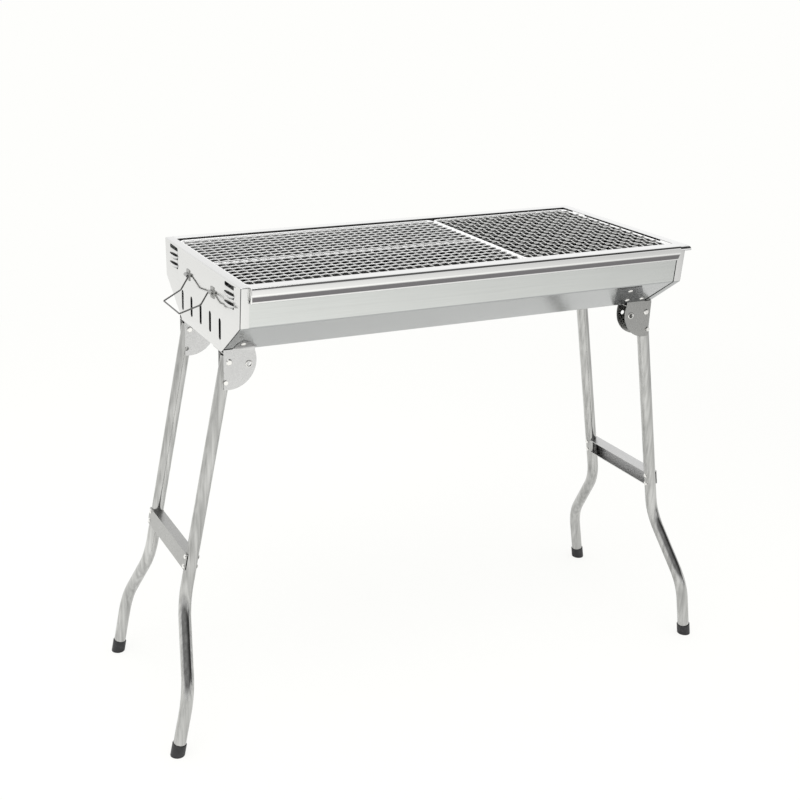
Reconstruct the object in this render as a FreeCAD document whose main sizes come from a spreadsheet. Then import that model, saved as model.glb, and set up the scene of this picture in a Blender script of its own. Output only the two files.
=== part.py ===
import FreeCAD, Part
import math
import os
import types
import Sketcher

# Folding camp grill: a folded sheet trough that stands on two pairs of folding tube legs.
# Millimetres and degrees. +X runs along the trough, -Y is the front, +Z is up, and the origin
# is on the ground under the middle of the trough.

doc = FreeCAD.newDocument("FoldingCampGrill")
sheet = doc.addObject("Spreadsheet::Sheet", "Sizes")

DRIVING_SIZES = {
    # folded trough
    "body_length": 730.0,
    "body_width": 322.0,
    "rim_height": 700.0,
    "bend_height": 642.0,
    "floor_height": 590.0,
    "floor_width": 175.0,
    "panel_taper": 3.5,
    "gauge": 1.0,
    # rim rails on the long sides
    "rail_proud": 4.5,
    "rail_lip": 8.5,
    "rail_top": 20.0,
    "rail_step": 6.0,
    "rail_ledge": 11.0,
    # end plates
    "side_flange": 13.0,
    "left_top_flange": 13.0,
    "right_top_flange": 20.0,
    "right_rim_out": 7.0,
    "right_rim_lip": 7.0,
    "vent_pitch": 40.0,
    "vent_width": 7.5,
    "vent_length": 31.0,
    "vent_middle": 621.5,
    "louvre_pitch": 13.5,
    "louvre_width": 5.0,
    "louvre_length": 36.0,
    "louvre_inset": 43.0,
    "louvre_top": 693.0,
    # charcoal basket
    "basket_gauge": 0.8,
    "basket_raise": 12.0,
    "basket_side_gap": 33.0,
    "basket_top": 650.0,
    "basket_end_gap": 20.0,
    "basket_slot_width": 6.0,
    "basket_slot_length": 160.0,
    "basket_slot_margin": 41.0,
    "basket_clearance": 0.3,
    # grates
    "grate_rod": 4.0,
    "grate_wire": 2.0,
    "grate_corner": 8.0,
    "grate_side_gap": 3.5,
    "grate_end_gap": 1.5,
    "grate_joint_place": 88.0,
    "grate_joint_gap": 2.0,
    "grate_row_pitch": 14.0,
    "grate_column_pitch": 14.0,
    # legs
    "pivot_inset": 8.0,
    "pivot_drop": 13.5,
    "leg_place": 84.0,
    "leg_splay": 10.56,
    "tube_diameter": 19.0,
    "tube_wall": 1.0,
    "tube_stub": 7.0,
    "knee_above_foot": 239.4,
    "bend_angle": 34.0,
    "bend_radius": 95.0,
    "foot_spread": 74.0,
    "tube_foot_gap": 4.0,
    "cap_diameter": 21.5,
    "cap_height": 19.5,
    # brace between the legs of a pair
    "brace_above_knee": 38.0,
    "brace_height": 25.0,
    "brace_depth": 18.0,
    "brace_gauge": 1.2,
    "brace_rivet_pitch": 15.0,
    "brace_overhang": 5.0,
    "brace_clearance": 0.2,
    # leg brackets
    "bracket_gauge": 1.2,
    "bracket_clearance": 0.6,
    "bracket_seam": 0.1,
    "bracket_back": 8.0,
    "bracket_radius": 41.0,
    "bracket_tab": 20.0,
    "flange_start": 13.5,
    "left_flange_root": 36.0,
    "left_flange_lean": 2.0,
    "left_flange_tip": 14.0,
    "left_flange_reach": 40.0,
    "right_flange_root": 60.0,
    "right_flange_lean": 56.0,
    "right_flange_tip": 46.0,
    "right_flange_short": 13.2,
    "single_rivet_along": 11.0,
    "single_rivet_up": 17.0,
    "flange_low_row": 0.2,
    "flange_high_row": 0.78,
    "flange_rivet_side": 0.27,
    "tab_rivet_near": 0.3,
    "tab_rivet_far": 0.75,
    # pins, rivets and buttons
    "pin_diameter": 6.0,
    "pin_clearance": 0.05,
    "pin_head": 10.0,
    "pin_head_taper": 1.5,
    "button_diameter": 6.4,
    "button_clearance": 0.2,
    "button_drop": 30.0,
    "button_stand": 2.2,
    "button_collar": 9.0,
    "button_seat": 6.0,
    "leaf_width": 7.0,
    "leaf_gauge": 0.6,
    "leaf_length": 42.0,
    "leaf_below": 4.0,
    "left_fold": 90.0,
    "right_fold": 94.0,
    "rivet_diameter": 4.0,
    "rivet_head": 8.0,
    "rivet_head_height": 1.6,
    "rivet_tail_height": 1.2,
    "rivet_tail_spread": 1.6,
    "rivet_crown": 1.5,
    # carrying handles
    "handle_height": 667.0,
    "handle_wire": 3.0,
    "handle_arm_place": 43.5,
    "handle_bend": 2.0,
    "handle_drop_out": 12.0,
    "handle_drop_down": 19.0,
    "handle_reach_out": 41.0,
    "handle_reach_down": 31.0,
    "handle_grip_inset": 8.0,
    "handle_clearance": 0.06,
    "lug_length": 12.0,
    "lug_height": 16.0,
    "lug_wall": 1.2,
}


class Size:
    """A value together with the sheet formula that it comes from."""

    def __init__(self, text, value):
        self.text = text
        self.value = value

    def __add__(self, other):
        other = as_size(other)
        return Size(f"({self.text} + {other.text})", self.value + other.value)

    def __sub__(self, other):
        other = as_size(other)
        return Size(f"({self.text} - {other.text})", self.value - other.value)

    def __mul__(self, other):
        other = as_size(other)
        return Size(f"({self.text} * {other.text})", self.value * other.value)

    def __truediv__(self, other):
        other = as_size(other)
        return Size(f"({self.text} / {other.text})", self.value / other.value)

    def __neg__(self):
        return Size(f"(-1 * {self.text})", -self.value)

    def __radd__(self, other):
        return as_size(other) + self

    def __rsub__(self, other):
        return as_size(other) - self

    def __rmul__(self, other):
        return as_size(other) * self


def as_size(number):
    """A plain number as a Size; a Size stays as it is."""
    return number if isinstance(number, Size) else Size(f"({number})", float(number))


def root(size):
    return Size(f"sqrt({size.text})", math.sqrt(size.value))


def sine(angle):
    return Size(f"sin({angle.text})", math.sin(math.radians(angle.value)))


def cosine(angle):
    return Size(f"cos({angle.text})", math.cos(math.radians(angle.value)))


def fill_sheet():
    """Write each driving size to its own cell, and give the cell its name."""
    for row, (alias, value) in enumerate(DRIVING_SIZES.items(), start=1):
        sheet.set(f"A{row}", alias)
        sheet.set(f"B{row}", str(value))
        sheet.setAlias(f"B{row}", alias)
    doc.recompute()
    return {alias: Size(f"Sizes.{alias}", value) for alias, value in DRIVING_SIZES.items()}


s = types.SimpleNamespace(**fill_sheet())
X_AXIS = FreeCAD.Vector(1, 0, 0)
Y_AXIS = FreeCAD.Vector(0, 1, 0)
Z_AXIS = FreeCAD.Vector(0, 0, 1)
NODES = {}


# ---------------------------------------------------------------- document helpers

def bind(item, **formulas):
    """Tie properties to the sheet; a double underscore in a name stands for a dot."""
    for name, size in formulas.items():
        item.setExpression(name.replace("__", "."), as_size(size).text)


def place(item, at, axis=Z_AXIS, angle=0):
    """Put an object at a point, turned about an axis, both tied to the sheet."""
    at = [as_size(value) for value in at]
    angle = as_size(angle)
    item.Placement = FreeCAD.Placement(FreeCAD.Vector(*[value.value for value in at]),
                                       FreeCAD.Rotation(axis, angle.value))
    bind(item, Placement__Base__x=at[0], Placement__Base__y=at[1], Placement__Base__z=at[2])
    if angle.text.count("Sizes"):
        bind(item, Placement__Rotation__Angle=angle)
    return item


def box(name, low, size):
    item = doc.addObject("Part::Box", name)
    bind(item, Length=size[0], Width=size[1], Height=size[2])
    return place(item, low)


def cylinder(name, radius, height, base, axis=Z_AXIS, angle=0):
    item = doc.addObject("Part::Cylinder", name)
    bind(item, Radius=radius, Height=height)
    return place(item, base, axis, angle)


def along_y(name, radius, low, length):
    """Cylinder that runs towards +Y from its low end."""
    return cylinder(name, radius, length, low, X_AXIS, -90)


def along_x(name, radius, low, length):
    """Cylinder that runs towards +X from its low end."""
    return cylinder(name, radius, length, low, Y_AXIS, 90)


def cone(name, low_radius, high_radius, height, base, axis=Z_AXIS, angle=0):
    item = doc.addObject("Part::Cone", name)
    bind(item, Radius1=low_radius, Radius2=high_radius, Height=height)
    return place(item, base, axis, angle)


def fuse(name, shapes):
    item = doc.addObject("Part::MultiFuse", name)
    item.Shapes = shapes
    return item


def cut(name, base, tool):
    item = doc.addObject("Part::Cut", name)
    item.Base = base
    item.Tool = tool
    return item


def group(name, members):
    item = doc.addObject("Part::Compound", name)
    item.Links = members
    return item


def mirror(name, source, normal):
    item = doc.addObject("Part::Mirroring", name)
    item.Source = source
    item.Normal = normal
    return item


def node(name, item):
    """Name a finished sub-part; the name is also its file's name."""
    item.Label = name
    NODES[name] = item
    return item


def new_body(name):
    body = doc.addObject("PartDesign::Body", name)
    body.AllowCompound = True
    return body


def sketch_on(body, plane, offset=0):
    """Sketch on one of the body's own origin planes, moved along the plane's normal."""
    sketch = body.newObject("Sketcher::SketchObject", "Sketch")
    support = [feature for feature in body.Origin.OriginFeatures if feature.Role == plane][0]
    sketch.AttachmentSupport = (support, "")
    sketch.MapMode = "FlatFace"
    bind(sketch, AttachmentOffset__Base__z=offset)
    return sketch


def hold(sketch, geometry, point, x, y):
    """Hold one point of a sketch at a place that the sheet gives."""
    for kind, size in (("DistanceX", x), ("DistanceY", y)):
        if size is not None:
            index = sketch.addConstraint(Sketcher.Constraint(kind, -1, 1, geometry, point, size.value))
            bind(sketch, **{f"Constraints[{index}]": size})


def trace(sketch, start, steps, closed=True):
    """Draw joined lines and arcs. A step is (end,) for a line, or (end, centre, turn) for an arc,
    where turn is 1 when it runs anticlockwise."""
    start = tuple(as_size(value) for value in start)
    steps = [tuple(tuple(as_size(v) for v in item) if isinstance(item, tuple) else item
                   for item in step) for step in steps]
    points = [start] + [step[0] for step in steps]
    first = sketch.GeometryCount
    joints = []
    for begin, step in zip(points, steps):
        a = FreeCAD.Vector(begin[0].value, begin[1].value, 0)
        b = FreeCAD.Vector(step[0][0].value, step[0][1].value, 0)
        if len(step) == 1:
            sketch.addGeometry(Part.LineSegment(a, b), False)
            joints.append((1, 2))
            continue
        centre = FreeCAD.Vector(step[1][0].value, step[1][1].value, 0)
        low, high = (a, b) if step[2] > 0 else (b, a)
        angles = [math.atan2((p - centre).y, (p - centre).x) for p in (low, high)]
        circle = Part.Circle(centre, Z_AXIS, (a - centre).Length)
        sketch.addGeometry(Part.ArcOfCircle(circle, *angles), False)
        joints.append((1, 2) if step[2] > 0 else (2, 1))
    for index, (begin, step) in enumerate(zip(points, steps)):
        geometry = first + index
        hold(sketch, geometry, joints[index][0], *begin)
        if len(step) > 1:
            chord = (step[0][0].value - begin[0].value, step[0][1].value - begin[1].value)
            upright = abs(chord[1]) >= abs(chord[0])
            hold(sketch, geometry, 3, step[1][0] if upright else None,
                 None if upright else step[1][1])
        if index + 1 < len(steps):
            sketch.addConstraint(Sketcher.Constraint("Coincident", geometry, joints[index][1],
                                                     geometry + 1, joints[index + 1][0]))
        elif closed:
            sketch.addConstraint(Sketcher.Constraint("Coincident", geometry, joints[index][1],
                                                     first, joints[0][0]))
        else:
            hold(sketch, geometry, joints[index][1], *step[0])


def polygon(sketch, corners):
    trace(sketch, corners[0], [(corner,) for corner in corners[1:] + corners[:1]])


def rectangle(sketch, low, high):
    polygon(sketch, [low, (high[0], low[1]), high, (low[0], high[1])])


def round_hole(sketch, centre, radius):
    index = sketch.addGeometry(Part.Circle(FreeCAD.Vector(as_size(centre[0]).value,
                                                          as_size(centre[1]).value, 0),
                                           Z_AXIS, radius.value), False)
    hold(sketch, index, 3, as_size(centre[0]), as_size(centre[1]))
    constraint = sketch.addConstraint(Sketcher.Constraint("Radius", index, radius.value))
    bind(sketch, **{f"Constraints[{constraint}]": radius})


def slot(sketch, centre, length, width, upright):
    """Slot with half-round ends, along the sketch's second axis if upright."""
    half, radius = (length - width) / 2, width / 2
    u, v = (as_size(value) for value in centre)
    if upright:
        trace(sketch, (u + radius, v - half),
              [((u + radius, v + half),), ((u - radius, v + half), (u, v + half), 1),
               ((u - radius, v - half),), ((u + radius, v - half), (u, v - half), 1)])
    else:
        trace(sketch, (u - half, v - radius),
              [((u + half, v - radius),), ((u + half, v + radius), (u + half, v), 1),
               ((u - half, v + radius),), ((u - half, v - radius), (u - half, v), 1)])


def pad(body, sketch, length):
    """Thicken a sketch along its plane's normal."""
    feature = body.newObject("PartDesign::Pad", "Pad")
    feature.Profile = sketch
    bind(feature, Length=length)
    return feature


def pocket(body, sketch, length):
    """Cut a sketch against its plane's normal."""
    feature = body.newObject("PartDesign::Pocket", "Pocket")
    feature.Profile = sketch
    bind(feature, Length=length)
    return feature


# ---------------------------------------------------------------- trough and its ends

SPARE = 5  # how far a cutting shape runs past what it cuts

half_length = s.body_length / 2
half_width = s.body_width / 2
slope_run = half_width - s.panel_taper - s.floor_width / 2
slope_rise = s.bend_height - s.floor_height
slope_length = root(slope_run * slope_run + slope_rise * slope_rise)
rail_end = half_length + s.right_rim_out - s.right_top_flange
slope_angle = Size(f"atan({slope_rise.text} / {slope_run.text})",
                   math.degrees(math.atan2(slope_rise.value, slope_run.value)))


def slope_side(height, inset):
    """Half width of the sloped wall at a height, moved inwards by an inset."""
    return (s.floor_width / 2 + (height - s.floor_height) * slope_run / slope_rise
            - inset * slope_length / slope_rise)


def trough_corners(inset, floor, top):
    """Hexagonal trough section moved inwards by an inset, from a floor height up to the top."""
    bend = s.bend_height + inset * (slope_length - slope_rise) / slope_run
    right = [(half_width - inset, top), (half_width - s.panel_taper - inset, bend),
             (slope_side(floor, inset), floor)]
    return right + [(-y, z) for y, z in reversed(right)]


def build_trough():
    """One folded sheet: two side panels, two slopes and the floor."""
    body = new_body("TroughBody")
    outer = trough_corners(s.gauge, s.floor_height, s.rim_height - s.gauge)
    inner = trough_corners(2 * s.gauge, s.floor_height + s.gauge, s.rim_height - s.gauge)
    sketch = sketch_on(body, "YZ_Plane", -half_length + s.gauge)
    polygon(sketch, outer + list(reversed(inner)))
    pad(body, sketch, s.body_length - 2 * s.gauge)
    return body


def build_end_plate(name, end):
    """Pressed end pan whose flanges wrap the panels; end is -1 on the left and 1 on the right."""
    body = new_body(name)
    outer_face = half_length * end
    pan_start = outer_face if end < 0 else outer_face - s.side_flange
    pan_top = s.rim_height - s.gauge
    sketch = sketch_on(body, "YZ_Plane", pan_start)
    polygon(sketch, trough_corners(as_size(0), s.floor_height, pan_top))
    pad(body, sketch, s.side_flange)
    sketch = sketch_on(body, "YZ_Plane", pan_start + s.side_flange if end < 0 else outer_face - s.gauge)
    seat = trough_corners(s.gauge, s.floor_height, pan_top)
    above, below = pan_top + SPARE, s.floor_height - SPARE
    polygon(sketch, [(seat[0][0], above)] + seat[:3] + [(seat[2][0], below), (seat[3][0], below)]
            + seat[3:] + [(seat[5][0], above)])
    pocket(body, sketch, s.side_flange - s.gauge)
    if end < 0:
        sketch = sketch_on(body, "YZ_Plane", outer_face)
        rectangle(sketch, (-half_width, pan_top), (half_width, s.rim_height))
        pad(body, sketch, s.left_top_flange)
    else:
        rim_side = half_width + s.rail_proud
        rim_end = outer_face + s.right_rim_out
        sketch = sketch_on(body, "YZ_Plane", rim_end - s.right_top_flange)
        rectangle(sketch, (-rim_side, pan_top), (rim_side, s.rim_height))
        pad(body, sketch, s.right_top_flange)
        sketch = sketch_on(body, "YZ_Plane", rim_end - s.gauge)
        rectangle(sketch, (-rim_side, s.rim_height - s.right_rim_lip), (rim_side, s.rim_height))
        pad(body, sketch, s.gauge)
        sketch = sketch_on(body, "YZ_Plane", rim_end - s.right_top_flange)
        for side in (-1, 1):
            low = -rim_side if side < 0 else rim_side - s.gauge
            rectangle(sketch, (low, s.rim_height - s.rail_lip), (low + s.gauge, s.rim_height))
        pad(body, sketch, s.right_top_flange)
    sketch = sketch_on(body, "YZ_Plane", outer_face + (2 * s.gauge if end < 0 else s.gauge))
    for count in range(-2, 3):
        slot(sketch, (s.vent_pitch * count, s.vent_middle), s.vent_length, s.vent_width, True)
    for side in (-1, 1):
        for row in range(3):
            slot(sketch, ((half_width - s.louvre_inset) * side, s.louvre_top - s.louvre_pitch * row),
                 s.louvre_length, s.louvre_width, False)
    pocket(body, sketch, 3 * s.gauge)
    return body


def build_back_rail():
    """Formed rail on a long panel: turned-down lip, flat rim, and a step that carries the grates."""
    body = new_body("RailBody")
    lip = half_width + s.rail_proud
    step = lip - s.rail_top
    top, ledge = s.rim_height, s.rim_height - s.rail_step
    sketch = sketch_on(body, "YZ_Plane", -half_length + s.left_top_flange)
    polygon(sketch, [(lip, top - s.rail_lip), (lip, top), (step, top), (step, ledge),
                     (step - s.rail_ledge, ledge), (step - s.rail_ledge, ledge - s.gauge),
                     (step + s.gauge, ledge - s.gauge), (step + s.gauge, top - s.gauge),
                     (lip - s.gauge, top - s.gauge), (lip - s.gauge, top - s.rail_lip)])
    pad(body, sketch, rail_end - (-half_length + s.left_top_flange))
    return body


# ---------------------------------------------------------------- basket and grates

BASKET_SLOTS = 17


def build_basket():
    """Folded charcoal basket that lies on the slopes, with slots through its floor."""
    body = new_body("BasketBody")
    inset = 2 * s.gauge + s.rivet_tail_height + s.basket_clearance
    floor = s.floor_height + s.gauge + s.basket_raise
    length = s.body_length - 2 * s.basket_end_gap

    def section(extra):
        """Tray section moved inwards by an extra inset."""
        side = half_width - s.basket_side_gap - extra
        knee = s.floor_height + (side + (inset + extra) * slope_length / slope_rise
                                 - s.floor_width / 2) * slope_rise / slope_run
        base = floor + extra
        right = [(side, s.basket_top), (side, knee), (slope_side(base, inset + extra), base)]
        return right + [(-y, z) for y, z in reversed(right)]

    sketch = sketch_on(body, "YZ_Plane", -length / 2)
    polygon(sketch, section(as_size(0)))
    pad(body, sketch, length)
    sketch = sketch_on(body, "YZ_Plane", length / 2 - s.basket_gauge)
    hollow = section(s.basket_gauge)
    above = s.basket_top + SPARE
    polygon(sketch, [(hollow[0][0], above)] + hollow[1:5] + [(hollow[5][0], above)])
    pocket(body, sketch, length - 2 * s.basket_gauge)
    sketch = sketch_on(body, "XY_Plane", floor + 2 * s.basket_gauge)
    slot_row = length - 2 * s.basket_slot_margin
    slot(sketch, (-slot_row / 2, 0), s.basket_slot_length, s.basket_slot_width, True)
    first_slot = pocket(body, sketch, 3 * s.basket_gauge)
    pattern = body.newObject("PartDesign::LinearPattern", "SlotRow")
    pattern.Originals = [first_slot]
    pattern.Direction = (sketch, ["H_Axis"])
    pattern.Occurrences = BASKET_SLOTS
    bind(pattern, Length=slot_row)
    body.Tip = pattern
    return body


ledge_height = s.rim_height - s.rail_step
rod_radius = s.grate_rod / 2
wire_radius = s.grate_wire / 2
grate_side = half_width + s.rail_proud - s.rail_top - s.grate_side_gap - rod_radius
frame_level = ledge_height + rod_radius
cross_level = frame_level
long_level = cross_level + s.grate_wire
stiffener_level = cross_level - wire_radius - rod_radius


def build_grate_frame(name, left, right):
    """Closed rectangle of rod with round corners; left and right are the end rods' axes."""
    corner = s.grate_corner
    pieces = []
    for side in (-1, 1):
        pieces.append(along_x(name + "SideRod", rod_radius, (left + corner, grate_side * side, frame_level),
                              right - left - 2 * corner))
    for place_x in (left, right):
        pieces.append(along_y(name + "EndRod", rod_radius, (place_x, -grate_side + corner, frame_level),
                              2 * (grate_side - corner)))
    for turn, (place_x, place_y) in enumerate([(right - corner, grate_side - corner),
                                               (left + corner, grate_side - corner),
                                               (left + corner, -grate_side + corner),
                                               (right - corner, -grate_side + corner)]):
        bend = doc.addObject("Part::Torus", name + "Bend")
        bind(bend, Radius1=corner, Radius2=rod_radius)
        bend.Angle3 = 90
        pieces.append(place(bend, (place_x, place_y, frame_level), Z_AXIS, 90 * turn))
    return fuse(name, pieces)


def build_wires(name, left, right):
    """The two layers of mesh wire between the frame's rods: along X, and across it."""
    inner_left, inner_right = left + rod_radius, right - rod_radius
    span = inner_right - inner_left
    rows = int((2 * grate_side.value) // s.grate_row_pitch.value)
    columns = int(span.value // s.grate_column_pitch.value)
    row_pitch = 2 * grate_side / rows
    column_pitch = span / columns
    long_wires = [along_x(name + "LongWire", wire_radius,
                          (inner_left, -grate_side + row_pitch * row, long_level), span)
                  for row in range(1, rows)]
    cross_wires = [along_y(name + "CrossWire", wire_radius,
                           (inner_left + column_pitch * column, -grate_side + rod_radius, cross_level),
                           2 * (grate_side - rod_radius))
                   for column in range(1, columns)]
    return group(name + "Long", long_wires), group(name + "Cross", cross_wires)


# ---------------------------------------------------------------- legs

pivot_height = s.floor_height - s.pivot_drop
tube_radius = s.tube_diameter / 2
leg_reach = pivot_height / cosine(s.leg_splay)
left_pivot = (s.pivot_inset - half_length, as_size(0), pivot_height)
knee_drop = leg_reach - s.knee_above_foot
brace_drop = knee_drop - s.brace_above_knee


def build_leg_tube():
    """Front left leg. Its own frame hangs straight down from the pivot; placing it splays it."""
    body = new_body("LegBody")
    side = -s.leg_place
    shift = s.bend_radius * (1 - cosine(s.bend_angle))
    drop = s.bend_radius * sine(s.bend_angle)
    run = (s.foot_spread - 2 * shift) / sine(s.bend_angle) * cosine(s.bend_angle)
    knee, ankle = -knee_drop, -knee_drop - 2 * drop - run
    spine = sketch_on(body, "YZ_Plane")
    trace(spine, (side, s.tube_stub),
          [((side, knee),),
           ((side - shift, knee - drop), (side - s.bend_radius, knee), -1),
           ((side - s.foot_spread + shift, ankle + drop),),
           ((side - s.foot_spread, ankle), (side - s.foot_spread + s.bend_radius, ankle), 1),
           ((side - s.foot_spread, s.tube_foot_gap - leg_reach),)], closed=False)
    for kind, radius in (("Additive", tube_radius), ("Subtractive", tube_radius - s.tube_wall)):
        ring = sketch_on(body, "XY_Plane", s.tube_stub)
        round_hole(ring, (0, side), radius)
        pipe = body.newObject(f"PartDesign::{kind}Pipe", f"{kind}Pipe")
        pipe.Profile = ring
        pipe.Spine = (spine, [f"Edge{number}" for number in range(1, 6)])
    through = s.tube_diameter * 2
    pin_hole = sketch_on(body, "XZ_Plane", s.leg_place + s.tube_diameter)
    round_hole(pin_hole, (0, 0), s.pin_diameter / 2 + s.pin_clearance)
    pocket(body, pin_hole, through)
    rivet_holes = sketch_on(body, "YZ_Plane", s.tube_diameter)
    for side_of_middle in (-1, 1):
        round_hole(rivet_holes, (side, s.brace_rivet_pitch / 2 * side_of_middle - brace_drop),
                   s.rivet_diameter / 2)
    pocket(body, rivet_holes, through)
    hole = sketch_on(body, "XZ_Plane", s.leg_place + s.tube_diameter)
    round_hole(hole, (0, -s.button_drop), s.button_diameter / 2 + s.button_clearance)
    pocket(body, hole, s.tube_diameter)
    return place(body, left_pivot, Y_AXIS, s.leg_splay)


def on_leg(across, side, down):
    """World place of a point given in the left pair's own frame."""
    return (left_pivot[0] + across * cosine(s.leg_splay) - down * sine(s.leg_splay), as_size(side),
            pivot_height - across * sine(s.leg_splay) - down * cosine(s.leg_splay))


def build_foot_cap():
    """Push-on plastic cap, cut level where it stands on the ground."""
    side = -s.leg_place - s.foot_spread
    outer = cylinder("CapOuter", s.cap_diameter / 2, s.cap_height + SPARE,
                     on_leg(0, side, leg_reach + SPARE), Y_AXIS, s.leg_splay)
    bore = cylinder("CapBore", tube_radius, s.cap_height,
                    on_leg(0, side, leg_reach - s.tube_foot_gap), Y_AXIS, s.leg_splay)
    foot = on_leg(0, side, leg_reach)
    reach = s.cap_diameter
    ground = box("CapGround", (foot[0] - reach, side - reach, -reach), (2 * reach, 2 * reach, reach))
    return cut("FootCap", cut("CapShell", outer, bore), ground)


brace_web = tube_radius + s.brace_clearance + s.brace_gauge


def build_brace():
    """Pressed channel whose web lies outside both tubes of a pair, notched where they pass through."""
    body = new_body("BraceBody")
    half_span = s.leg_place + s.brace_overhang
    low, high = -brace_drop - s.brace_height / 2, -brace_drop + s.brace_height / 2
    sketch = sketch_on(body, "XZ_Plane", -half_span)
    rectangle(sketch, (-brace_web, low), (s.brace_depth - brace_web, high))
    pad(body, sketch, 2 * half_span)
    sketch = sketch_on(body, "YZ_Plane", s.brace_depth - brace_web)
    rectangle(sketch, (-half_span - SPARE, low + s.brace_gauge),
              (half_span + SPARE, high - s.brace_gauge))
    pocket(body, sketch, s.brace_depth - s.brace_gauge)
    notches = sketch_on(body, "XY_Plane", high + SPARE)
    holes = sketch_on(body, "YZ_Plane", 0)
    for side in (-1, 1):
        round_hole(notches, (0, s.leg_place * side), tube_radius + s.brace_clearance / 2)
        for row in (-1, 1):
            round_hole(holes, (s.leg_place * side, s.brace_rivet_pitch / 2 * row - brace_drop),
                       s.rivet_diameter / 2)
    pocket(body, notches, s.brace_height + 2 * SPARE)
    pocket(body, holes, brace_web + SPARE)
    return place(body, left_pivot, Y_AXIS, s.leg_splay)


def build_brace_rivets():
    """Rivets through the brace's web and each leg tube, with a head at both ends."""
    rivets = []
    wide, small = s.rivet_head / 2, s.rivet_head / 2 - s.rivet_crown
    outwards, inwards = s.leg_splay - 90, s.leg_splay + 90
    for row in (-1, 1):
        down = brace_drop + s.brace_rivet_pitch / 2 * row
        for side in (-1, 1):
            place_y = s.leg_place * side
            shank = cylinder("BraceShank", s.rivet_diameter / 2, brace_web + tube_radius,
                             on_leg(-brace_web, place_y, down), Y_AXIS, inwards)
            head = cone("BraceHead", wide, small, s.rivet_head_height,
                        on_leg(-brace_web, place_y, down), Y_AXIS, outwards)
            clench = cone("BraceClench", wide, small, s.rivet_head_height,
                          on_leg(tube_radius, place_y, down), Y_AXIS, inwards)
            rivets.append(fuse("BraceRivet", [shank, head, clench]))
    return group("BraceRivets", rivets)


cheek_gap = tube_radius + s.bracket_clearance
cheek_out = s.leg_place + cheek_gap + s.bracket_gauge
cheek_in = s.leg_place - cheek_gap - s.bracket_gauge
flange_root_side = cheek_out - s.bracket_gauge
flange_root_height = (s.floor_height + (flange_root_side - s.floor_width / 2
                                        + s.gauge * slope_length / slope_rise) * slope_rise / slope_run)
flange_left = -half_length + s.flange_start
flange_turn = 180 - slope_angle.value


def on_slope(along, up, out):
    """World place on the front slope: along X from the flange's start, up the slope, and outwards."""
    return (flange_left + along,
            -flange_root_side - up * slope_run / slope_length - out * slope_rise / slope_length,
            flange_root_height + up * slope_rise / slope_length - out * slope_run / slope_length)


def turn_onto_slope(item):
    """Turn an object's own Z axis to point straight out of the front slope."""
    base = item.Placement.Base
    item.Placement = FreeCAD.Placement(base, FreeCAD.Rotation(X_AXIS, flange_turn))
    item.setExpression("Placement.Rotation.Angle", f"180 deg - {slope_angle.text}")
    return item


def build_bracket(name, root_width, lean, tip, reach, fold, shanks):
    """Front left bracket: two rounded cheeks, a tab under the floor and a flange up the slope."""
    back = left_pivot[0] - s.bracket_back
    front = left_pivot[0] + s.bracket_radius
    pieces = []
    for low in (-cheek_out, -cheek_in - s.bracket_gauge):
        disc = along_y(name + "Disc", s.bracket_radius, (left_pivot[0], low, pivot_height),
                       s.bracket_gauge)
        square = box(name + "Square", (back, low, pivot_height - s.bracket_radius),
                     (front - back, s.bracket_gauge, s.bracket_radius + s.pivot_drop))
        cheek = doc.addObject("Part::Common", name + "Cheek")
        cheek.Base, cheek.Tool = disc, square
        pieces.append(cheek)
    tab_length = front - back - 2 * s.bracket_gauge
    pieces.append(box(name + "Tab", (back, -cheek_out, s.floor_height - s.bracket_gauge),
                      (tab_length, cheek_out - cheek_in + s.bracket_tab, s.bracket_gauge)))
    pieces.append(box(name + "Riser", (flange_left, -cheek_out, s.floor_height - s.bracket_gauge),
                      (back + tab_length - flange_left, s.bracket_gauge,
                       flange_root_height - s.floor_height + s.bracket_gauge)))
    under_pan = s.gauge * slope_length / slope_run + s.bracket_seam
    pieces.append(box(name + "EndRiser", (back, -cheek_out, s.floor_height - s.bracket_gauge),
                      (flange_left - back, s.bracket_gauge,
                       flange_root_height - s.floor_height + s.bracket_gauge - under_pan)))
    flange = doc.addObject("Part::Wedge", name + "Flange")
    bind(flange, Xmin=0, Xmax=root_width, X2min=lean, X2max=lean + tip, Ymin=0, Ymax=reach,
         Zmin=0, Zmax=s.bracket_gauge, Z2min=0, Z2max=s.bracket_gauge)
    pieces.append(turn_onto_slope(place(flange, on_slope(0, 0, 0))))
    through = cheek_out - cheek_in + 2 * SPARE
    holes = [shanks]
    low = -cheek_out - SPARE
    for radius, down, swing in ((s.pin_diameter / 2, as_size(0), as_size(0)),
                                (s.button_diameter / 2 + s.button_clearance, s.button_drop, as_size(0)),
                                (s.button_diameter / 2 + s.button_clearance, s.button_drop, fold)):
        holes.append(along_y(name + "Hole", radius,
                             (left_pivot[0] + down * sine(swing - s.leg_splay), low,
                              pivot_height - down * cosine(swing - s.leg_splay)), through))
    return cut(name, fuse(name + "Blank", pieces), group(name + "Holes", holes))


def three_rivets(root_width, lean, tip, reach):
    """Places on a tall flange, along and up: two low down and one near the tip."""
    low_row, high_row = reach * s.flange_low_row, reach * s.flange_high_row
    return [(root_width * s.flange_rivet_side, low_row),
            (root_width * (1 - s.flange_rivet_side), low_row),
            (lean * s.flange_high_row + tip / 2, high_row)]


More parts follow.
